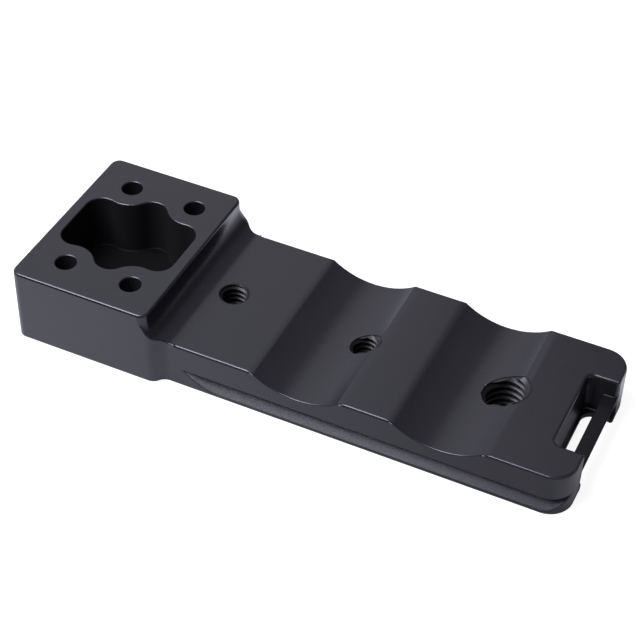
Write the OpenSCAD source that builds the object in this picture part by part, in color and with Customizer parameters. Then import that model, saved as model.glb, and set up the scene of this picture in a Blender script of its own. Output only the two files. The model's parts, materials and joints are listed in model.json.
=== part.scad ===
// Lens tripod foot, milled from one billet of aluminium and anodised black.
// The lens bolts to the tall head, and the bar below it is a dovetail for a tripod clamp.
// +X runs from the head to the strap end, +Y runs across the foot, and +Z points to the lens.
// The origin is on the underside, in the middle of the length and of the width.
// Places along the foot are measured from the outer face of the head.

/* [Bar] */
// Length of the whole foot
foot_l = 118.45; // [112:0.05:140]
// Width of the bar and of its dovetail flanges
bar_w = 38; // [36:0.1:40]
// Height of the bar
bar_h = 10.2; // [9:0.1:12]
// Radius of the two upright corners at the strap end
bar_corner_r = 5; // [2:0.1:7]
// Width of the chamfer along the top edges
edge_chamfer = 0.3; // [0.2:0.05:0.6]

/* [Head] */
// Length of the head
head_l = 30.8; // [29:0.1:32]
// Width of the head
head_w = 42; // [41:0.1:46]
// Height of the face that the lens sits on
head_h = 17; // [16.6:0.1:24]
// Radius of the head's upright corners
head_corner_r = 2; // [1:0.1:3]
// Radius of the hollow fillet between the head's wall and the bar
head_fillet_r = 5.3; // [3:0.1:5.9]
// Radius of the two arcs that carry the head's side into the bar's side
shoulder_r = 2.5; // [2:0.1:4]

/* [Lens screws] */
// Diameter of the four clearance holes
screw_hole_d = 4.3; // [3.2:0.1:5]
// Distance from the outer face to the first pair of holes
screw_first_x = 8.5; // [8:0.1:9]
// Spacing of the holes along the foot
screw_pitch_x = 14.9; // [14:0.1:16]
// Spacing of the holes across the foot
screw_pitch_y = 26.8; // [26:0.1:29]
// Diameter of the counterbores for the screw heads
screw_head_d = 7.6; // [6:0.1:8.4]
// Height of the seats that the screw heads pull against
screw_seat_h = 8; // [5:0.1:10]

/* [Pocket] */
// Thickness of the wall between the pocket and the outer face
pocket_wall = 2.6; // [2:0.1:3.5]
// Length of the pocket
pocket_l = 25.5; // [24:0.1:25.9]
// Thickness of the floor under the pocket
pocket_floor = 4.4; // [2:0.1:8]
// Radius of the boss that stands round each screw hole
boss_r = 5.75; // [5.2:0.05:6]
// Radius of the rounded corners and of the bulges between the bosses
pocket_corner_r = 3.45; // [3:0.05:3.8]

/* [Finger grooves] */
// Radius of the grooves' round floor
groove_r = 15.5; // [14:0.1:18]
// Depth of the grooves
groove_depth = 3.15; // [2:0.05:3.5]
// Distance from the outer face to the middle of the first groove
groove_x = 62.5; // [60:0.1:66]
// Spacing of the grooves
groove_pitch = 29.6; // [27:0.1:31]
// Number of grooves
groove_count = 2; // [1:1:2]
// Width of the shallow easing strip beside each groove
ease_w = 1.3; // [0.8:0.1:2]
// Depth of the easing strip at the groove
ease_h = 0.2; // [0.1:0.05:0.3]

/* [Tripod threads] */
// Major diameter of the two small threads
small_thread_d = 6.35; // [5:0.05:8]
// Major diameter of the large thread
large_thread_d = 9.525; // [8:0.025:11]
// Distance from the outer face to the first small thread
small_thread_x = 39.6; // [39:0.1:44]
// Distance from the outer face to the second small thread
second_thread_x = 68.9; // [64:0.1:72]
// Distance from the strap end to the large thread
large_thread_end = 19.55; // [14:0.05:22]

/* [Dovetail] */
// Height of the shoulder over each dovetail slope
dovetail_h = 4.15; // [3.8:0.05:4.6]
// Depth of each dovetail groove, cut at 45 degrees
dovetail_depth = 3.5; // [3:0.05:3.7]
// Distance from the outer face to the tip where each groove starts
dovetail_start = 37.7; // [36:0.1:42]
// Radius of the cutter that leaves the round start of each groove
dovetail_cutter_r = 10.5; // [8:0.1:14]

/* [Strap slot] */
// Distance between the two ends of the slot
slot_w = 20.7; // [16:0.1:22]
// Depth of the slot from the strap end
slot_depth = 6.35; // [6.2:0.05:7]
// Radius of the slot's inner corners
slot_corner_r = 1.4; // [1:0.1:2.5]
// Width of the chamfer along the slot's top edges
slot_chamfer = 0.4; // [0.3:0.05:0.8]
// Height of the lip that narrows the slot at the underside
lip_h = 1.15; // [0.8:0.05:3]
// Width of the lip at each end of the slot
lip_w = 1.1; // [0.5:0.1:1.3]
// Width of the lip along the slot's inner wall
lip_depth = 0.55; // [0.3:0.05:0.7]
// Radius of the lip's inner corners
lip_corner_r = 2.3; // [1:0.1:2.5]
// Radius of the rounded edges at the slot's mouth
slot_mouth_r = 0.8; // [0.6:0.1:1.6]
// Width of the strap bar's flat top
strap_bar_w = 2.8; // [2.2:0.1:2.8]
// Height of the strap bar's flat top
strap_bar_z = 6.15; // [5:0.05:8]
// Radius of the strap bar's round underside
strap_bar_r = 1.45; // [1.45:0.05:1.7]
// Distance of the strap bar from the end face
strap_bar_inset = 0.05; // [0.05:0.05:0.4]

/* [Hidden] */
$fn = 96;
anodised = [0.16, 0.16, 0.18];
// Overrun of a cut past what it cuts
cut_over = 1;
// Hair by which two arcs that blend into each other overlap
blend_over = 0.002;
head_y = head_w / 2;
bar_y = bar_w / 2;
slot_y = slot_w / 2;
slot_x = foot_l - slot_depth;
screw_y = screw_pitch_y / 2;
head_arc_x = head_l - head_corner_r;
head_arc_y = head_y - head_corner_r;
bar_arc_x = foot_l - bar_corner_r;
bar_arc_y = bar_y - bar_corner_r;
large_thread_x = foot_l - large_thread_end;
fillet_end_x = head_l + head_fillet_r;
shoulder_l = sqrt(pow(2 * shoulder_r, 2) - pow(2 * shoulder_r - (head_y - bar_y), 2));
shoulder_x = head_l + shoulder_l;
groove_half_l = sqrt(pow(groove_r, 2) - pow(groove_r - groove_depth, 2));
pocket_end_x = pocket_wall + pocket_l;
boss_reach = boss_r + pocket_corner_r;

// The foot seen from above, as a flat outline.
module plan() {
    translate([head_corner_r, -head_y]) square([head_l - head_corner_r, head_w]);
    translate([0, -head_arc_y]) square([head_l, 2 * head_arc_y]);
    for (side = [-1, 1]) translate([head_corner_r, side * head_arc_y]) circle(r = head_corner_r);
    translate([head_arc_x, -bar_y]) square([bar_arc_x - head_arc_x, bar_w]);
    translate([head_arc_x, -bar_arc_y]) square([foot_l - head_arc_x, 2 * bar_arc_y]);
    for (side = [-1, 1]) translate([bar_arc_x, side * bar_arc_y]) circle(r = bar_corner_r);
    for (side = [0, 1]) mirror([0, side]) shoulder();
}

// The swept shoulder where the head's side runs into the bar's side.
module shoulder() {
    convex = [head_l, head_y - shoulder_r];
    concave = [shoulder_x, bar_y + shoulder_r];
    difference() {
        union() {
            translate(convex) circle(r = shoulder_r);
            polygon([[head_arc_x, bar_arc_y], [head_arc_x, head_y - shoulder_r], convex, concave,
                     [shoulder_x, bar_arc_y]]);
        }
        translate(concave) circle(r = shoulder_r + blend_over);
    }
}

// The head above the bar, with its four rounded corners.
module head_tower() {
    linear_extrude(head_h) {
        translate([head_corner_r, -head_y]) square([head_l - 2 * head_corner_r, head_w]);
        translate([0, -head_arc_y]) square([head_l, 2 * head_arc_y]);
        for (x = [head_corner_r, head_arc_x], side = [-1, 1])
            translate([x, side * head_arc_y]) circle(r = head_corner_r);
    }
}

// The hollow profile between an upright wall at x = start and a floor, rooted inside the wall.
module fillet_profile(start, r) {
    difference() {
        translate([start - head_corner_r, 0]) square([head_corner_r + r, r]);
        translate([start + r, r]) circle(r = r);
    }
}

// The hollow fillet along the head's wall and round its two corners.
module head_fillet() {
    translate([0, head_arc_y, bar_h]) rotate([90, 0, 0])
        linear_extrude(2 * head_arc_y) fillet_profile(head_l, head_fillet_r);
    for (side = [-1, 1]) translate([head_arc_x, side * head_arc_y, bar_h])
        rotate_extrude() fillet_profile(head_corner_r, head_fillet_r);
}

// The billet milled to its outline and its two heights.
module blank() {
    intersection() {
        linear_extrude(head_h) plan();
        union() {
            linear_extrude(bar_h) plan();
            head_tower();
            head_fillet();
        }
    }
}

// A cutter for a 45 degree chamfer along X, on the edge at y = 0 and z = 0 with the solid at -Y.
module edge_cut(l, chamfer = edge_chamfer) {
    reach = chamfer + cut_over;
    rotate([90, 0, 90]) linear_extrude(l)
        polygon([[-chamfer, 0], [cut_over, -reach], [cut_over, cut_over], [-chamfer, cut_over]]);
}

// A cutter for the chamfer round an upright corner of radius r, about its centre at z = 0.
module corner_cut(r) {
    rotate([0, 0, -90]) rotate_extrude(angle = 180)
        polygon([[r - edge_chamfer, 0], [r + cut_over, -edge_chamfer - cut_over],
                 [r + cut_over, cut_over], [r - edge_chamfer, cut_over]]);
}

// The chamfers round the top of the head.
module head_chamfers() {
    for (side = [0, 1]) mirror([0, side]) translate([0, 0, head_h]) {
        translate([head_corner_r, head_y]) edge_cut(head_l - 2 * head_corner_r);
        translate([head_arc_x, head_arc_y]) quarter() corner_cut(head_corner_r);
        translate([head_corner_r, head_arc_y]) mirror([1, 0]) quarter() corner_cut(head_corner_r);
    }
    translate([head_l, head_arc_y, head_h]) rotate([0, 0, -90]) edge_cut(2 * head_arc_y);
    translate([0, -head_arc_y, head_h]) rotate([0, 0, 90]) edge_cut(2 * head_arc_y);
}

// The chamfers round the top of the bar, from the end of the fillet to the strap end.
module bar_chamfers() {
    for (side = [0, 1]) mirror([0, side]) translate([0, 0, bar_h]) {
        translate([fillet_end_x, bar_y]) edge_cut(bar_arc_x - fillet_end_x);
        translate([bar_arc_x, bar_arc_y]) quarter() corner_cut(bar_corner_r);
    }
    translate([foot_l, bar_arc_y, bar_h]) rotate([0, 0, -90]) edge_cut(2 * bar_arc_y);
}

// Keeps the part of a corner cutter that lies at +X and +Y.
module quarter() {
    span = bar_corner_r + head_corner_r + 2 * cut_over;
    intersection() {
        children();
        translate([0, 0, -span / 2]) cube(span);
    }
}

// The pocket's outline: a box with round corners that swings in round each boss.
module pocket_outline() {
    low_x = pocket_wall + pocket_corner_r;
    high_x = pocket_end_x - pocket_corner_r;
    second_x = screw_first_x + screw_pitch_x;
    low = [low_x, screw_y - reach_y(screw_first_x - low_x)];
    bulge = [screw_first_x + screw_pitch_x / 2, screw_y - reach_y(screw_pitch_x / 2)];
    high = [high_x, screw_y - reach_y(high_x - second_x)];
    bosses = [[screw_first_x, screw_y], [second_x, screw_y]];
    for (side = [0, 1]) mirror([0, side]) {
        difference() {
            polygon([[pocket_wall, 0], [pocket_wall, low[1]], low, bosses[0], bulge, bosses[1], high,
                     [pocket_end_x, high[1]], [pocket_end_x, 0]]);
            for (at = bosses) translate(at) circle(r = boss_r);
        }
        for (at = [low, bulge, high]) translate(at) circle(r = pocket_corner_r + blend_over);
    }
}

// Distance across the foot from a boss to an arc that touches it, when they lie dx apart.
function reach_y(dx) = sqrt(pow(boss_reach, 2) - pow(dx, 2));

// The blind pocket that lightens the head.
module pocket() {
    translate([0, 0, pocket_floor]) linear_extrude(head_h) pocket_outline();
}

// The four clearance holes, with counterbores from below.
module screw_holes() {
    for (i = [0, 1], side = [-1, 1])
        translate([screw_first_x + i * screw_pitch_x, side * screw_y, -cut_over]) {
            cylinder(d = screw_hole_d, h = head_h + 2 * cut_over);
            cylinder(d = screw_head_d, h = screw_seat_h + cut_over);
        }
}

// A finger groove across the bar, with the shallow easing beside its two edges.
module finger_groove() {
    translate([0, -bar_y - cut_over, bar_h]) rotate([-90, 0, 0]) linear_extrude(bar_w + 2 * cut_over) {
        translate([0, -(groove_r - groove_depth)]) circle(r = groove_r);
        for (side = [0, 1]) mirror([side, 0])
            polygon([[0, ease_h], [groove_half_l, ease_h], [groove_half_l + ease_w, 0],
                     [groove_half_l + ease_w, -cut_over], [0, -cut_over]]);
    }
}

// The three threaded holes at their major diameter, right through the bar.
module thread_holes() {
    for (hole = [[small_thread_x, small_thread_d], [second_thread_x, small_thread_d],
                 [large_thread_x, large_thread_d]])
        translate([hole[0], 0, -cut_over]) cylinder(d = hole[1], h = bar_h + 2 * cut_over);
}

// The dovetail groove along the +Y side, with the round start that its cutter leaves.
module dovetail_groove() {
    fall = dovetail_depth + cut_over;
    root_y = bar_y - dovetail_depth;
    start_x = dovetail_start + sqrt(pow(dovetail_cutter_r, 2) - pow(dovetail_cutter_r - dovetail_depth, 2));
    translate([start_x, 0, dovetail_h]) rotate([90, 0, 90]) linear_extrude(foot_l - start_x + cut_over)
        polygon([[root_y, 0], [root_y + fall, -fall], [root_y + fall, 0]]);
    translate([start_x, root_y + dovetail_cutter_r, dovetail_h - fall])
        cylinder(r1 = dovetail_cutter_r - fall, r2 = dovetail_cutter_r, h = fall);
}

// The slot's outline, with round inner corners and rounded edges at its mouth.
module slot_outline(inner_x, end_y, corner_r) {
    inner_y = end_y - corner_r;
    translate([inner_x + corner_r, -end_y]) square([foot_l - inner_x, 2 * end_y]);
    translate([inner_x, -inner_y]) square([foot_l - inner_x, 2 * inner_y]);
    for (side = [0, 1]) mirror([0, side]) {
        translate([inner_x + corner_r, inner_y]) circle(r = corner_r);
        difference() {
            translate([foot_l - slot_mouth_r, inner_y])
                square([slot_mouth_r + cut_over, slot_mouth_r + corner_r]);
            translate([foot_l - slot_mouth_r, end_y + slot_mouth_r]) circle(r = slot_mouth_r);
        }
    }
}

// The slot that the strap passes through, open above, below and at the end, with its lip below.
module strap_slot() {
    translate([0, 0, lip_h]) linear_extrude(bar_h) slot_outline(slot_x, slot_y, slot_corner_r);
    translate([0, 0, -cut_over]) linear_extrude(bar_h)
        slot_outline(slot_x + lip_depth, slot_y - lip_w, lip_corner_r);
}

// The chamfer along the slot's two ends and inner wall, at the top of the bar.
module slot_chamfers() {
    reach = slot_chamfer + cut_over;
    for (side = [0, 1]) mirror([0, side]) translate([0, 0, bar_h]) {
        translate([slot_x + slot_corner_r, slot_y]) mirror([0, 1])
            edge_cut(slot_depth - slot_corner_r, slot_chamfer);
        translate([slot_x + slot_corner_r, slot_y - slot_corner_r, -slot_chamfer])
            cylinder(r1 = slot_corner_r, r2 = slot_corner_r + reach, h = reach);
    }
    translate([slot_x, slot_y - slot_corner_r, bar_h]) rotate([0, 0, -90])
        edge_cut(slot_w - 2 * slot_corner_r, slot_chamfer);
}

// The bar that the strap loops round, flat on top and round below.
module strap_bar() {
    half = slot_y + slot_mouth_r;
    crown = sqrt(pow(strap_bar_r, 2) - pow(strap_bar_w / 2, 2));
    translate([foot_l - strap_bar_inset - strap_bar_r, half, strap_bar_z - crown]) rotate([90, 0, 0])
        linear_extrude(2 * half) difference() {
            circle(r = strap_bar_r);
            translate([-strap_bar_r, crown]) square([2 * strap_bar_r, strap_bar_r]);
        }
}

module lens_foot() {
    color(anodised) translate([-foot_l / 2, 0, 0]) {
        difference() {
            blank();
            head_chamfers();
            bar_chamfers();
            pocket();
            screw_holes();
            for (i = [0 : groove_count - 1]) translate([groove_x + i * groove_pitch, 0, 0]) finger_groove();
            thread_holes();
            for (side = [0, 1]) mirror([0, side]) dovetail_groove();
            strap_slot();
            slot_chamfers();
        }
        strap_bar();
    }
}

lens_foot();
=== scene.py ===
"""A lens tripod foot of black anodised aluminium, lit and seen as on a white studio table.

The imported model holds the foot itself. This script gives the milled block its broken edges, cuts the turns of its
three tripod threads, dresses every surface, and sets up the table, the lamps and the camera.
"""

from __future__ import annotations

import json
import logging
import math
from collections.abc import Iterable
from dataclasses import dataclass
from enum import Enum

import bmesh
import bpy
from mathutils import Matrix, Vector

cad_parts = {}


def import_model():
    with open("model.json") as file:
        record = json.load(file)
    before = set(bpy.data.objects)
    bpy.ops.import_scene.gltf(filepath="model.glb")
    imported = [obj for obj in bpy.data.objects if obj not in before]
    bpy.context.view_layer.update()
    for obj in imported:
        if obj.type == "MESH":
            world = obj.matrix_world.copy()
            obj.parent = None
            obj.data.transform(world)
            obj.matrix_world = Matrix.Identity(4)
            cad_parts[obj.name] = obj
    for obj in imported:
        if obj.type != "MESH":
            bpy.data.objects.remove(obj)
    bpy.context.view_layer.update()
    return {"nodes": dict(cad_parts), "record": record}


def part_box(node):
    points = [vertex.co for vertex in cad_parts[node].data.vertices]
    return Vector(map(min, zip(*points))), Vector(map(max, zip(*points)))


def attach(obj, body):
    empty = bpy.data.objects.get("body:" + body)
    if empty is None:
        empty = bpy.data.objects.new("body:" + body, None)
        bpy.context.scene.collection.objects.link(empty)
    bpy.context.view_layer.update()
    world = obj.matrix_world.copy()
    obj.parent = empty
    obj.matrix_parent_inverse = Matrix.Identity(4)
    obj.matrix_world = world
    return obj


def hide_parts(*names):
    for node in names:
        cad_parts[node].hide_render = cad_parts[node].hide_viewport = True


LOG = logging.getLogger("lens_foot")
MM = 0.001
ROOT = "root"
FOOT_NODE = "lens_foot"
BAR_TOP = 10.2 * MM
DOVETAIL_TOP = 4.15 * MM
GROOVE_DEPTH = 3.3 * MM
WALL_MARGIN = 0.1 * MM
BORE_REACH = 12.0 * MM
# Deep places that get little light, given painted shade, a darker and duller finish: lowest corner, highest corner, and
# how much of the gloss is lost there.
POCKET_PAINTED_SHADE = (Vector((-56.9, -11.8, 4.2)) * MM, Vector((-30.7, 11.8, 16.8)) * MM, 1.0)
SLOT_PAINTED_SHADE = (Vector((53.3, -10.4, 1.4)) * MM, Vector((60.0, 10.4, 9.7)) * MM, 0.7)


class Ray(Enum):
    """The kinds of light path that the table tells apart."""

    CAMERA = "Is Camera Ray"
    GLOSSY = "Is Glossy Ray"
    TRANSMISSION = "Is Transmission Ray"


class Signal:
    """A node socket that carries a number, with the arithmetic that shader maths needs."""

    def __init__(self, bench: "Bench", socket: bpy.types.NodeSocket) -> None:
        """Wraps a socket of the material that the bench makes.

        Args:
            bench: The bench that adds the nodes.
            socket: The output socket that carries the number.
        """
        self.bench = bench
        self.socket = socket

    def _math(self, operation: str, first: "Signal | float", second: "Signal | float") -> "Signal":
        """Adds one Math node.

        Args:
            operation: The node's operation.
            first: Its first value.
            second: Its second value.

        Returns:
            The node's result.
        """
        return self.bench.node("ShaderNodeMath", {"operation": operation}, {0: first, 1: second})

    def __add__(self, other: "Signal | float") -> "Signal":
        """The sum."""
        return self._math("ADD", self, other)

    def __radd__(self, other: float) -> "Signal":
        """The sum, with the number first."""
        return self._math("ADD", other, self)

    def __sub__(self, other: "Signal | float") -> "Signal":
        """The difference."""
        return self._math("SUBTRACT", self, other)

    def __rsub__(self, other: float) -> "Signal":
        """The difference, with the number first."""
        return self._math("SUBTRACT", other, self)

    def __mul__(self, other: "Signal | float") -> "Signal":
        """The product."""
        return self._math("MULTIPLY", self, other)

    def __rmul__(self, other: float) -> "Signal":
        """The product, with the number first."""
        return self._math("MULTIPLY", other, self)

    def __truediv__(self, other: "Signal | float") -> "Signal":
        """The quotient."""
        return self._math("DIVIDE", self, other)

    def size(self) -> "Signal":
        """The number without its sign."""
        return self._math("ABSOLUTE", self, 0.0)

    def above(self, edge: float, soft: float) -> "Signal":
        """A mask that is 1 well above an edge and 0 well below it.

        Args:
            edge: The value at which the mask is one half.
            soft: How far on either side the mask takes to change.

        Returns:
            The mask.
        """
        settings = {"interpolation_type": "SMOOTHSTEP"}
        ends = {"Value": self, "From Min": edge - soft, "From Max": edge + soft}
        return self.bench.node("ShaderNodeMapRange", settings, ends)

    def below(self, edge: float, soft: float) -> "Signal":
        """A mask that is 1 well below an edge and 0 well above it.

        Args:
            edge: The value at which the mask is one half.
            soft: How far on either side the mask takes to change.

        Returns:
            The mask.
        """
        return 1.0 - self.above(edge, soft)


class Bench:
    """Makes one node material."""

    def __init__(self, name: str) -> None:
        """Starts an empty material.

        Args:
            name: The material's name.
        """
        self.material = bpy.data.materials.new(name)
        self.material.use_nodes = True
        self.tree = self.material.node_tree
        self.tree.nodes.clear()

    def node(self, kind: str, settings: dict | None = None, values: dict | None = None, out: int | str = 0) -> Signal:
        """Adds a node of any type.

        Args:
            kind: The node's type.
            settings: The node's own settings, set before its sockets.
            values: The value or the link of each named or numbered input socket.
            out: The output socket to hand back.

        Returns:
            The wanted output.
        """
        made = self.tree.nodes.new(kind)
        for name, value in (settings or {}).items():
            setattr(made, name, value)
        for name, value in (values or {}).items():
            self.feed(made.inputs[name], value)
        return Signal(self, made.outputs[out])

    def feed(self, socket: bpy.types.NodeSocket, value: object) -> None:
        """Links a signal to a socket, or sets the socket's own value.

        Args:
            socket: The input socket.
            value: A Signal, a number, a colour or a vector.
        """
        if isinstance(value, Signal):
            self.tree.links.new(value.socket, socket)
        else:
            socket.default_value = value

    def mix(self, factor: Signal, low: object, high: object) -> Signal:
        """Mixes two colours.

        Args:
            factor: The share of the second colour.
            low: The first colour.
            high: The second colour.

        Returns:
            The mixed colour.
        """
        # The Mix node keeps its colour sockets after those for numbers and vectors.
        return self.node("ShaderNodeMix", {"data_type": "RGBA"}, {0: factor, 6: low, 7: high}, out=2)

    def noise(self, place: Signal, scale: float, detail: float = 2.0) -> Signal:
        """Noise from 0 to 1.

        Args:
            place: The point to read it at.
            scale: How many features it has in a metre.
            detail: How many finer octaves it has.

        Returns:
            The noise.
        """
        return self.node("ShaderNodeTexNoise", {}, {"Vector": place, "Scale": scale, "Detail": detail})

    def axis(self, vector: Signal, name: str) -> Signal:
        """One coordinate of a vector.

        Args:
            vector: The vector.
            name: X, Y or Z.

        Returns:
            The coordinate.
        """
        return self.node("ShaderNodeSeparateXYZ", {}, {"Vector": vector}, out=name)

    def ray(self, kind: Ray) -> Signal:
        """Whether the light path that meets the surface is of a kind.

        Args:
            kind: The kind.

        Returns:
            1 or 0.
        """
        return self.node("ShaderNodeLightPath", out=kind.value)

    def finish(self, shader: Signal) -> bpy.types.Material:
        """Links the last shader to the material's output.

        Args:
            shader: The shader.

        Returns:
            The finished material.
        """
        output = self.tree.nodes.new("ShaderNodeOutputMaterial")
        self.tree.links.new(shader.socket, output.inputs["Surface"])
        return self.material


@dataclass(frozen=True)
class ThreadCut:
    """How one tripod thread is cut: its pitch, where its turns lie, and the finger groove through its mouth."""

    pitch: float
    lift: float
    groove_x: float = 0.0
    groove_depth: float = 0.0


THREAD_CUTS = {
    "small_thread": ThreadCut(25.4 / 20 * MM, -0.15 * MM),
    "second_small_thread": ThreadCut(25.4 / 20 * MM, -0.2 * MM, 3.275 * MM, GROOVE_DEPTH),
    "large_thread": ThreadCut(25.4 / 16 * MM, -0.86 * MM, 32.875 * MM, GROOVE_DEPTH),
}


@dataclass(frozen=True)
class AnodisedFinish:
    """Satin black anodising on milled aluminium, coarser on the dovetail slopes and lighter there, partly by painted
    light, with painted shade, a darker and duller finish, in deep places.

    Colours are linear. Scales are features in a metre.
    """

    dark: tuple[float, float, float, float] = (0.0080, 0.0080, 0.0105, 1.0)
    light: tuple[float, float, float, float] = (0.0125, 0.0125, 0.0162, 1.0)
    # The slope tone is partly the blasted finish and partly painted light; the tone towards the shoulder is painted
    # light against the shoulder's shade.
    blast_and_painted_light: tuple[float, float, float, float] = (0.072, 0.072, 0.082, 1.0)
    painted_light_under_shoulder: tuple[float, float, float, float] = (0.17, 0.17, 0.196, 1.0)
    # Painted shade for deep places, on walls and on floors.
    painted_shade: tuple[float, float, float, float] = (0.014, 0.014, 0.0165, 1.0)
    painted_shade_floor: tuple[float, float, float, float] = (0.0045, 0.0045, 0.0052, 1.0)
    sheen_tint: tuple[float, float, float, float] = (0.82, 0.82, 1.0, 1.0)
    roughness: float = 0.29
    blasted_roughness: float = 0.3
    ior: float = 1.75
    sheltered_roughness: float = 0.5
    sheltered_ior: float = 1.22
    grain_scale: float = 5200.0
    blast_scale: float = 3600.0
    cloud_scale: float = 95.0
    grain_depth: float = 0.004 * MM
    # Painted light: the slopes' lighter tone fades towards the strap end, as light falls off there.
    painted_falloff_at: float = 22.0 * MM
    painted_falloff_over: float = 30.0 * MM
    blast_and_painted_light_at_far_end: float = 0.30
    blast_and_painted_light_at_head: float = 1.05
    steep: float = 0.35

    def make(
        self,
        shelters: Iterable[tuple[Vector, Vector, float]],
        bores: Iterable[tuple[Vector, Vector]],
        dovetail_top: float,
    ) -> bpy.types.Material:
        """Builds the material.

        Args:
            shelters: Boxes by lowest and highest corner, whose insides get painted shade, darker and with little gloss,
                each with its share.
            bores: Boxes by lowest and highest corner, in which only the upright walls get painted shade, darker and
                with little gloss.
            dovetail_top: Height of the shoulder over the dovetail slopes.

        Returns:
            The material.
        """
        bench = Bench("anodised")
        place = bench.node("ShaderNodeTexCoord", out="Object")
        facing = bench.node("ShaderNodeNewGeometry", out="Normal")
        grain = bench.noise(place, self.grain_scale, 3.0)
        cloud = bench.noise(place, self.cloud_scale, 4.0)
        slope = self._slope(bench, place, facing, dovetail_top)
        # Painted shade: a darker finish with little gloss in the deep boxes and on the bores' upright walls.
        painted_shade_mask: Signal | float = 0.0
        for low, high, share in shelters:
            painted_shade_mask = self._inside(bench, place, low, high) * share + painted_shade_mask
        upright = bench.axis(facing, "Z").size().below(self.steep, 0.1)
        for low, high in bores:
            painted_shade_mask = self._inside(bench, place, low, high) * upright + painted_shade_mask
        tone = bench.mix(cloud * 0.6 + grain * 0.4, self.dark, self.light)
        blast = bench.noise(place, self.blast_scale, 3.0).above(0.5, 0.1)
        # Painted light: the slopes grow lighter towards the shoulder, against the shade it casts.
        under = bench.axis(place, "Z").above(0.42 * dovetail_top, 0.3 * dovetail_top)
        tone = bench.mix(slope * (0.30 + blast * 0.65), tone, bench.mix(under, self.blast_and_painted_light, self.painted_light_under_shoulder))
        floor = bench.axis(facing, "Z").above(0.5, 0.2)
        relief = grain + slope * blast * 1.5
        bump = bench.node("ShaderNodeBump", {}, {"Strength": 0.5, "Distance": self.grain_depth, "Height": relief})
        uneven = (grain - 0.5) * 0.08 + (cloud - 0.5) * 0.06
        shader = bench.node(
            "ShaderNodeBsdfPrincipled",
            {},
            {
                "Base Color": tone,
                "Roughness": self.roughness + uneven + slope * self.blasted_roughness,
                "IOR": self.ior,
                "Specular Tint": self.sheen_tint,
                "Normal": bump,
            },
        )
        # The shader of painted shade: darker, rougher and with little gloss.
        painted_shade_shader = bench.node(
            "ShaderNodeBsdfPrincipled",
            {},
            {
                "Base Color": bench.mix(floor, self.painted_shade, self.painted_shade_floor),
                "Roughness": self.sheltered_roughness,
                "IOR": self.sheltered_ior,
                "Specular Tint": self.sheen_tint,
                "Normal": bump,
            },
        )
        return bench.finish(bench.node("ShaderNodeMixShader", {}, {0: painted_shade_mask, 1: shader, 2: painted_shade_shader}))

    def _slope(self, bench: Bench, place: Signal, facing: Signal, dovetail_top: float) -> Signal:
        """A mask of the dovetail slopes, which fades towards the strap end as a painted fall-off of light.

        Args:
            bench: The bench that makes the material.
            place: The point on the surface.
            facing: The surface's normal.
            dovetail_top: Height of the shoulder over the slopes.

        Returns:
            The mask.
        """
        up, out = bench.axis(facing, "Z").above(0.5, 0.1), bench.axis(facing, "Y").size().above(0.5, 0.1)
        low = bench.axis(place, "Z").below(dovetail_top + 0.1 * MM, 0.05 * MM)
        fade = bench.axis(place, "X").below(self.painted_falloff_at, self.painted_falloff_over)
        return up * out * low * (self.blast_and_painted_light_at_far_end + fade * (self.blast_and_painted_light_at_head - self.blast_and_painted_light_at_far_end))

    def _inside(self, bench: Bench, place: Signal, low: Vector, high: Vector) -> Signal:
        """A mask of what lies in a box.

        Args:
            bench: The bench that makes the material.
            place: The point on the surface.
            low: The box's lowest corner.
            high: The box's highest corner.

        Returns:
            The mask.
        """
        mask: Signal | float = 1.0
        for name, start, end in zip("XYZ", low, high):
            across = (bench.axis(place, name) - (start + end) / 2).size()
            mask = across.below((end - start) / 2, 0.04 * MM) * mask
        return mask


@dataclass(frozen=True)
class ThreadFinish:
    """Bright-cut turns of a thread, dyed black with the rest, with painted shade, a darker and duller finish, on the
    side towards the head.
    """

    dark: tuple[float, float, float, float] = (0.012, 0.012, 0.014, 1.0)
    light: tuple[float, float, float, float] = (0.030, 0.030, 0.034, 1.0)
    # Painted shade for the turns' side towards the head.
    deep: tuple[float, float, float, float] = (0.006, 0.006, 0.0075, 1.0)
    sheen_tint: tuple[float, float, float, float] = (0.86, 0.86, 1.0, 1.0)
    roughness: float = 0.30
    ior: float = 1.42
    deep_roughness: float = 0.5
    deep_ior: float = 1.2
    painted_shade_share: float = 0.85
    scratch_scale: float = 2400.0

    def make(self) -> bpy.types.Material:
        """Builds the material.

        Returns:
            The material.
        """
        bench = Bench("cut_thread")
        place = bench.node("ShaderNodeTexCoord", out="Object")
        along = bench.node("ShaderNodeMapping", {}, {"Vector": place, "Scale": (1.0, 1.0, 4.0)})
        scratch = bench.noise(along, self.scratch_scale, 3.0)
        bump = bench.node("ShaderNodeBump", {}, {"Strength": 0.4, "Distance": 0.01 * MM, "Height": scratch})
        shader = bench.node(
            "ShaderNodeBsdfPrincipled",
            {},
            {
                "Base Color": bench.mix(scratch, self.dark, self.light),
                "Roughness": self.roughness + (scratch - 0.5) * 0.2,
                "IOR": self.ior,
                "Specular Tint": self.sheen_tint,
                "Normal": bump,
            },
        )
        painted_shade_shader = bench.node(
            "ShaderNodeBsdfPrincipled",
            {},
            {"Base Color": self.deep, "Roughness": self.deep_roughness, "IOR": self.deep_ior, "Normal": bump},
        )
        facing = bench.node("ShaderNodeNewGeometry", out="Normal")
        # Painted shade on the turns that face +X, on the side towards the head.
        shaded = bench.axis(facing, "X").above(0.1, 0.3) * self.painted_shade_share
        return bench.finish(bench.node("ShaderNodeMixShader", {}, {0: shaded, 1: shader, 2: painted_shade_shader}))


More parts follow.
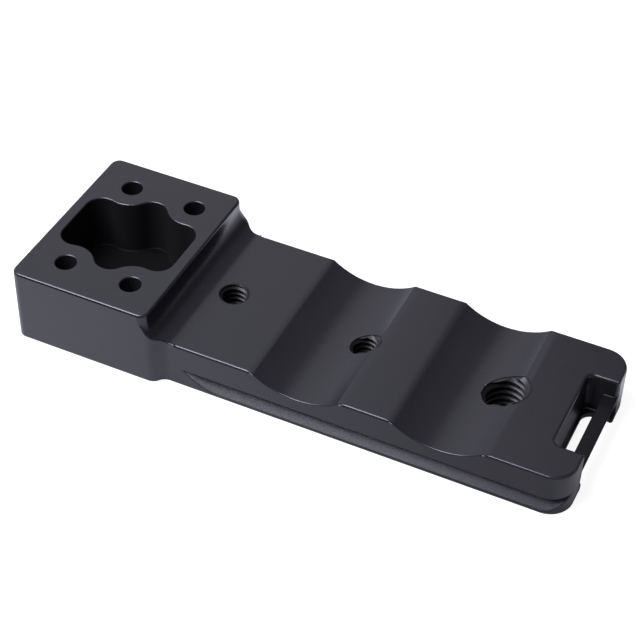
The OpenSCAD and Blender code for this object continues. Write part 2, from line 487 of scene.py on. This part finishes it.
@dataclass(frozen=True)
class TableFinish:
    """The white table: lit and shadowed for the object, near white for the camera and in gloss.

    In gloss its glow is painted: a painted fall-off of light towards +X, as from a lamp that stands on the other side,
    painted shade under the object and far out in front, and painted light past the strap end and close behind the
    object.
    """

    lit: tuple[float, float, float, float] = (0.31, 0.31, 0.31, 1.0)
    gloss_tint: tuple[float, float, float, float] = (0.88, 0.88, 1.0, 1.0)
    glow: float = 0.90
    # Painted light and shade in the gloss glow: its fall-off along X, the shade under the object and the light past its
    # ends.
    glow_in_gloss: float = 0.62
    gloss_at_far_end: float = 0.13
    fall_from: float = -50.0 * MM
    fall_to: float = 42.0 * MM
    gloss_left_in_painted_shadow: float = 0.9
    painted_light_past_end: float = 0.12
    painted_light_past_far_side: float = 0.75
    gloss_reach: float = -68.0 * MM
    half_length: float = 59.2 * MM
    half_width: float = 19.0 * MM

    def make(self) -> bpy.types.Material:
        """Builds the material.

        Returns:
            The material.
        """
        bench = Bench("white_table")
        place = bench.node("ShaderNodeTexCoord", out="Object")
        along, across = bench.axis(place, "X"), bench.axis(place, "Y")
        ends = {
            "Value": along,
            "From Min": self.fall_from,
            "From Max": self.fall_to,
            "To Min": self.glow_in_gloss,
            "To Max": self.gloss_at_far_end,
        }
        # Painted fall-off of light in gloss, towards +X.
        painted_falloff_in_gloss = bench.node("ShaderNodeMapRange", {}, ends)
        # Painted shadow under the object, painted light past the strap end and close behind it.
        under = along.size().below(self.half_length, 0.5 * MM) * across.size().below(self.half_width, 2.0 * MM)
        painted_light_past_end = along.above(self.half_length + 0.5 * MM, 0.5 * MM)
        painted_light_behind = across.above(self.half_width - 2.0 * MM, 3.0 * MM) * across.below(2.2 * self.half_width, 8.0 * MM)
        # Painted shade far out in front, in both the glow and the matt colour.
        near = across.above(self.gloss_reach, 22.0 * MM)
        in_gloss = painted_falloff_in_gloss * near * (1.0 - under * (1.0 - self.gloss_left_in_painted_shadow))
        in_gloss = in_gloss + painted_light_past_end * self.painted_light_past_end + painted_light_behind * self.painted_light_past_far_side
        plain = bench.ray(Ray.CAMERA) + bench.ray(Ray.TRANSMISSION)
        glossy = bench.ray(Ray.GLOSSY)
        seen = plain * self.glow + glossy * in_gloss
        shade = bench.mix(glossy * (1.0 - near), self.lit, (0.0, 0.0, 0.0, 1.0))
        matt = bench.node("ShaderNodeBsdfDiffuse", {}, {"Color": shade}, out="BSDF")
        tint = bench.mix(glossy, (1.0, 1.0, 1.0, 1.0), self.gloss_tint)
        glow = bench.node("ShaderNodeEmission", {}, {"Color": tint, "Strength": seen})
        return bench.finish(bench.node("ShaderNodeAddShader", {}, {0: matt, 1: glow}))


@dataclass
class FootBlock:
    """The milled block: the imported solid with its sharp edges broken.

    The bores are given by a point on the axis and a radius.
    """

    node: bpy.types.Object
    box: tuple[Vector, Vector]
    bores: list[tuple[Vector, float]]
    edge_break: float = 0.26 * MM
    rim_break: float = 0.32 * MM
    break_segments: int = 3
    lip_end: tuple[Vector, Vector] = (Vector((58.6, 9.0, 0.0)) * MM, Vector((59.3, 13.0, 1.7)) * MM)
    sharp_angle: float = math.radians(22.0)
    merge_gap: float = 0.0001 * MM
    shortest_edge: float = 0.06 * MM
    flat_angle: float = math.radians(0.3)

    def build(self) -> bpy.types.Object:
        """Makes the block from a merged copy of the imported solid.

        Returns:
            The block's object.
        """
        mesh = self.node.data.copy()
        mesh.name = "milled_block"
        work = bmesh.new()
        work.from_mesh(mesh)
        bmesh.ops.remove_doubles(work, verts=work.verts, dist=self.merge_gap)
        bmesh.ops.dissolve_limit(
            work, angle_limit=self.flat_angle, use_dissolve_boundaries=False, verts=work.verts, edges=work.edges
        )
        # An edge shorter than the break would make the rim round it cross itself.
        bmesh.ops.dissolve_degenerate(work, edges=work.edges, dist=self.shortest_edge)
        sharp = [e for e in work.edges if len(e.link_faces) == 2 and e.calc_face_angle(0.0) > self.sharp_angle]
        sharp = [e for e in sharp if not self._is_bore_rim(e) and not self._is_lip_end(e)]
        mouths = [e for e in sharp if self._is_mouth(e)]
        kept = set(mouths)
        for edges, width in ((mouths, self.rim_break), ([e for e in sharp if e not in kept], self.edge_break)):
            bmesh.ops.bevel(
                work,
                geom=edges,
                offset=width,
                offset_type="OFFSET",
                segments=self.break_segments,
                profile=0.5,
                affect="EDGES",
                material=-1,
                clamp_overlap=False,
                loop_slide=False,
            )
        for face in work.faces:
            face.smooth = True
        for edge in work.edges:
            edge.smooth = not (self._is_bore_rim(edge) and edge.calc_face_angle(0.0) > self.sharp_angle)
        work.to_mesh(mesh)
        work.free()
        block = bpy.data.objects.new("milled_block", mesh)
        bpy.context.scene.collection.objects.link(block)
        even = block.modifiers.new("even_shading", "WEIGHTED_NORMAL")
        even.keep_sharp = True
        even.weight = 50
        return block

    def _is_bore_rim(self, edge: bmesh.types.BMEdge) -> bool:
        """Whether an edge is the rim of a threaded bore, where the thread's own chamfer takes over.

        Args:
            edge: A sharp edge.

        Returns:
            True for an edge that lies on the wall of a bore.
        """
        for centre, radius in self.bores:
            if all(abs((v.co - centre).xy.length - radius) < 0.02 * MM for v in edge.verts):
                return True
        return False

    def _is_lip_end(self, edge: bmesh.types.BMEdge) -> bool:
        """Whether an edge lies where the slot's low lip runs out into the strap end, too narrow for a break.

        Args:
            edge: A sharp edge.

        Returns:
            True for an edge of that small area.
        """
        low, high = self.lip_end
        points = [Vector((vert.co.x, abs(vert.co.y))) for vert in edge.verts]
        near = all(low[0] < point[0] < high[0] and low[1] < point[1] < high[1] for point in points)
        return near and all(vert.co.z < high[2] for vert in edge.verts)

    def _is_mouth(self, edge: bmesh.types.BMEdge) -> bool:
        """Whether an edge is a part of the mouth of the pocket or of a screw hole.

        Args:
            edge: A sharp edge.

        Returns:
            True for an upright wall's edge in the head's top face.
        """
        return all(abs(v.co.z - self.box[1][2]) < 0.01 * MM for v in edge.verts) and edge.calc_face_angle() > 1.4


@dataclass
class TripodThread:
    """The helical turns of one tripod thread, which stand on the wall of its bore.

    A finger groove of no depth is none. The lift sets where the first turn lies at the top.
    """

    name: str
    centre: Vector
    major_r: float
    pitch: float
    top: float
    groove_x: float = 0.0
    groove_depth: float = 0.0
    groove_r: float = 15.5 * MM
    steps_per_turn: int = 48
    root_bite: float = 0.05 * MM
    lead_in: float = -0.15 * MM
    lift: float = 0.0

    @property
    def minor_r(self) -> float:
        """Radius of the crests of a 60 degree unified thread."""
        return self.major_r - 0.5413 * self.pitch

    def build(self) -> bpy.types.Object:
        """Sweeps the turns and trims them to the bore.

        Returns:
            The thread's object.
        """
        work = bmesh.new()
        crest, root = self.pitch / 8, self.pitch * 7 / 16
        bite = self.major_r + self.root_bite
        outline = [(bite, -root), (self.minor_r, -crest), (self.minor_r, crest), (bite, root)]
        start = self.lift - self.pitch
        verts = [work.verts.new(self.centre + Vector((x, 0.0, z + start))) for x, z in outline]
        face = work.faces.new(verts)
        turns = math.ceil(self.top / self.pitch) + 2
        steps = turns * self.steps_per_turn
        ring = list(face.edges)
        work.faces.remove(face)
        made = bmesh.ops.spin(
            work,
            geom=verts + ring,
            cent=self.centre,
            axis=(0.0, 0.0, 1.0),
            dvec=(0.0, 0.0, self.pitch / self.steps_per_turn),
            angle=2 * math.pi * turns,
            steps=steps,
            use_merge=False,
            use_duplicate=False,
        )
        last = [e for e in made["geom_last"] if isinstance(e, bmesh.types.BMEdge)]
        for loop in (ring, last):
            bmesh.ops.contextual_create(work, geom=loop)
        for height, side in ((0.0, -1.0), (self.top, 1.0)):
            self._trim(work, height, side)
        thread = cutter(work, self.name)
        tools = [self._countersink(0.0, -1.0), self._countersink(self.top, 1.0)]
        if self.groove_depth > 0.0:
            tools.append(self._finger_groove())
        cut_away(thread, tools)
        for face in thread.data.polygons:
            face.use_smooth = False
            face.material_index = int(self._is_cap(face.center))
        return thread

    def _is_cap(self, point: Vector) -> bool:
        """Whether a face of the turns is flush with the top of the bar or with the finger groove.

        Args:
            point: The face's centre.

        Returns:
            True for a face that belongs to the bar's own surface.
        """
        axis_z = self.top - self.groove_depth + self.groove_r
        from_axis = math.hypot(point.x - self.groove_x, point.z - axis_z)
        in_groove = self.groove_depth > 0.0 and abs(from_axis - self.groove_r) < 0.01 * MM
        return in_groove or self.top - point.z < 0.005 * MM

    def _trim(self, work: bmesh.types.BMesh, height: float, side: float) -> None:
        """Cuts the turns off flat at a height and closes the cut.

        Args:
            work: The mesh.
            height: Where the cut lies.
            side: 1 to drop what is above, -1 to drop what is below.
        """
        cut = bmesh.ops.bisect_plane(
            work,
            geom=work.verts[:] + work.edges[:] + work.faces[:],
            dist=0.00001 * MM,
            plane_co=(0.0, 0.0, height),
            plane_no=(0.0, 0.0, side),
            clear_outer=True,
        )
        rim = [e for e in cut["geom_cut"] if isinstance(e, bmesh.types.BMEdge)]
        bmesh.ops.edgeloop_fill(work, edges=rim)

    def _countersink(self, height: float, side: float) -> bpy.types.Object:
        """Makes the 45 degree lead-in that opens the thread at one of its ends.

        Args:
            height: Where the bore ends.
            side: 1 for an end that faces up, -1 for one that faces down.

        Returns:
            The cutter.
        """
        work = bmesh.new()
        low, high = self.minor_r - 0.6 * MM, self.major_r + 1.0 * MM
        deep = high - low
        bmesh.ops.create_cone(work, cap_ends=True, segments=96, radius1=low, radius2=high, depth=deep)
        turn = Matrix.Identity(4) if side > 0 else Matrix.Rotation(math.pi, 4, "X")
        shift = height + side * (deep / 2 - (self.major_r - low) - self.lead_in)
        place = Matrix.Translation(self.centre + Vector((0.0, 0.0, shift)))
        bmesh.ops.transform(work, matrix=place @ turn, verts=work.verts)
        return cutter(work, "lead_in")

    def _finger_groove(self) -> bpy.types.Object:
        """Makes the cylinder that milled the finger groove through the mouth of this thread.

        Returns:
            The cutter.
        """
        work = bmesh.new()
        bmesh.ops.create_cone(
            work, cap_ends=True, segments=256, radius1=self.groove_r, radius2=self.groove_r, depth=60.0 * MM
        )
        place = Matrix.Translation((self.groove_x, 0.0, self.top - self.groove_depth + self.groove_r))
        bmesh.ops.transform(work, matrix=place @ Matrix.Rotation(math.pi / 2, 4, "X"), verts=work.verts)
        return cutter(work, "finger_groove")


def cutter(work: bmesh.types.BMesh, name: str) -> bpy.types.Object:
    """Turns a mesh into an object that boolean cuts can use.

    Args:
        work: The mesh, which is freed.
        name: The object's name.

    Returns:
        The object.
    """
    bmesh.ops.recalc_face_normals(work, faces=work.faces)
    mesh = bpy.data.meshes.new(name)
    work.to_mesh(mesh)
    work.free()
    made = bpy.data.objects.new(name, mesh)
    bpy.context.scene.collection.objects.link(made)
    return made


def cut_away(piece: bpy.types.Object, tools: Iterable[bpy.types.Object]) -> None:
    """Cuts a closed piece with closed cutters and keeps the result as its mesh.

    Args:
        piece: The piece.
        tools: The cutters, which are removed.
    """
    for tool in tools:
        cut = piece.modifiers.new(tool.name, "BOOLEAN")
        cut.operation = "DIFFERENCE"
        cut.solver = "EXACT"
        cut.object = tool
        seen = piece.evaluated_get(bpy.context.evaluated_depsgraph_get())
        left = bpy.data.meshes.new_from_object(seen)
        piece.modifiers.clear()
        piece.data = left
        bpy.data.objects.remove(tool)


@dataclass(frozen=True)
class Viewpoint:
    """The camera, as solved from the edges of the object in the photograph."""

    azimuth: float = math.radians(-65.854)
    elevation: float = math.radians(42.707)
    roll: float = math.radians(1.677)
    distance: float = 363.99 * MM
    target: tuple[float, float, float] = (-5.22 * MM, 10.81 * MM, 0.0)
    lens: float = 97.85

    def place(self) -> bpy.types.Object:
        """Makes the scene's camera.

        Returns:
            The camera's object.
        """
        back = Vector(
            (
                math.cos(self.elevation) * math.cos(self.azimuth),
                math.cos(self.elevation) * math.sin(self.azimuth),
                math.sin(self.elevation),
            )
        )
        right = Vector((0.0, 0.0, 1.0)).cross(back).normalized()
        turned = Matrix((right, back.cross(right), back)).transposed().to_4x4()
        turned = turned @ Matrix.Rotation(self.roll, 4, "Z")
        data = bpy.data.cameras.new("camera")
        data.lens = self.lens
        data.sensor_fit = "HORIZONTAL"
        data.clip_start = 0.01
        camera = bpy.data.objects.new("camera", data)
        camera.matrix_world = Matrix.Translation(Vector(self.target) + self.distance * back) @ turned
        bpy.context.scene.collection.objects.link(camera)
        bpy.context.scene.camera = camera
        return camera


@dataclass(frozen=True)
class Softbox:
    """One large soft lamp that faces the object."""

    name: str
    azimuth: float
    elevation: float
    distance: float
    width: float
    height: float
    power: float
    tint: tuple[float, float, float] = (1.0, 1.0, 1.0)

    def place(self) -> None:
        """Adds the lamp, turned to the origin."""
        data = bpy.data.lights.new(self.name, "AREA")
        data.shape = "RECTANGLE"
        data.size = self.width
        data.size_y = self.height
        data.energy = self.power
        data.color = self.tint
        azimuth, elevation = math.radians(self.azimuth), math.radians(self.elevation)
        back = Vector(
            (math.cos(elevation) * math.cos(azimuth), math.cos(elevation) * math.sin(azimuth), math.sin(elevation))
        )
        lamp = bpy.data.objects.new(self.name, data)
        lamp.matrix_world = Matrix.Translation(self.distance * back) @ back.to_track_quat("Z", "Y").to_matrix().to_4x4()
        bpy.context.scene.collection.objects.link(lamp)


@dataclass
class Studio:
    """The table, the room's light and the lamps."""

    table_half: float = 3.0
    room_light: float = 0.12
    lamps: tuple[Softbox, ...] = (
        Softbox("front_softbox", -138.0, 61.0, 0.6, 0.42, 0.40, 4.7),
        Softbox("back_reflector", 145.0, 42.0, 1.4, 1.7, 1.2, 3.17),
        Softbox("low_back_wall", 152.0, 8.0, 1.6, 1.3, 0.7, 1.25, (0.88, 0.88, 1.0)),
        Softbox("right_wall", 62.0, 42.0, 1.6, 1.2, 0.8, 0.34, (0.88, 0.88, 1.0)),
    )

    def build(self) -> None:
        """Makes the table, the world and the lamps."""
        work = bmesh.new()
        bmesh.ops.create_grid(work, x_segments=1, y_segments=1, size=self.table_half)
        mesh = bpy.data.meshes.new("table")
        work.to_mesh(mesh)
        work.free()
        mesh.materials.append(TableFinish().make())
        table = bpy.data.objects.new("table", mesh)
        bpy.context.scene.collection.objects.link(table)
        self._room()
        for lamp in self.lamps:
            lamp.place()

    def _room(self) -> None:
        """Sets the world: an even grey light, and white where the camera sees it."""
        world = bpy.data.worlds.new("room")
        bpy.context.scene.world = world
        world.use_nodes = True
        tree = world.node_tree
        tree.nodes.clear()
        ray = tree.nodes.new("ShaderNodeLightPath")
        even = tree.nodes.new("ShaderNodeBackground")
        even.inputs["Strength"].default_value = self.room_light
        white = tree.nodes.new("ShaderNodeBackground")
        white.inputs["Strength"].default_value = 1.0
        mix = tree.nodes.new("ShaderNodeMixShader")
        out = tree.nodes.new("ShaderNodeOutputWorld")
        tree.links.new(ray.outputs["Is Camera Ray"], mix.inputs[0])
        tree.links.new(even.outputs[0], mix.inputs[1])
        tree.links.new(white.outputs[0], mix.inputs[2])
        tree.links.new(mix.outputs[0], out.inputs["Surface"])


def dress(piece: bpy.types.Object, *finishes: bpy.types.Material) -> None:
    """Gives a piece its materials and its place on the object.

    Args:
        piece: The piece.
        finishes: The materials, in the order of the faces' indices.
    """
    piece.data.materials.clear()
    for finish in finishes:
        piece.data.materials.append(finish)
    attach(piece, ROOT)


def report(pieces: Iterable[bpy.types.Object]) -> None:
    """Logs each piece with its number of faces.

    Args:
        pieces: The pieces.
    """
    for piece in pieces:
        LOG.info("%s has %d faces", piece.name, len(piece.data.polygons))


def main() -> None:
    """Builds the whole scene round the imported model."""
    logging.basicConfig(level=logging.INFO, format="%(name)s: %(message)s")
    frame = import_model()
    bpy.context.scene.view_settings.view_transform = "Standard"
    Viewpoint().place()
    Studio().build()

    threaded = [mount for mount in frame["record"]["mounts"] if mount["kind"] == "threaded_hole"]
    bores = [(Vector(mount["pos_m"]), mount["dims"]["r_mm"] * MM) for mount in threaded]
    reach = [Vector((radius + WALL_MARGIN, radius + WALL_MARGIN, BORE_REACH)) for _, radius in bores]
    walls = [(centre - far, centre + far) for (centre, _), far in zip(bores, reach)]
    anodised = AnodisedFinish().make([POCKET_PAINTED_SHADE, SLOT_PAINTED_SHADE], walls, DOVETAIL_TOP)
    thread_finish = ThreadFinish().make()
    block = FootBlock(frame["nodes"][FOOT_NODE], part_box(FOOT_NODE), bores).build()
    dress(block, anodised)
    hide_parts(FOOT_NODE)
    pieces = [block]
    for mount in threaded:
        cut = THREAD_CUTS[mount["name"]]
        thread = TripodThread(
            name=mount["name"],
            centre=Vector((mount["pos_m"][0], mount["pos_m"][1], 0.0)),
            major_r=mount["dims"]["r_mm"] * MM,
            pitch=cut.pitch,
            top=BAR_TOP,
            groove_x=cut.groove_x,
            groove_depth=cut.groove_depth,
            lift=cut.lift,
        ).build()
        dress(thread, thread_finish, anodised)
        pieces.append(thread)
    report(pieces)


if __name__ == "__main__":
    main()
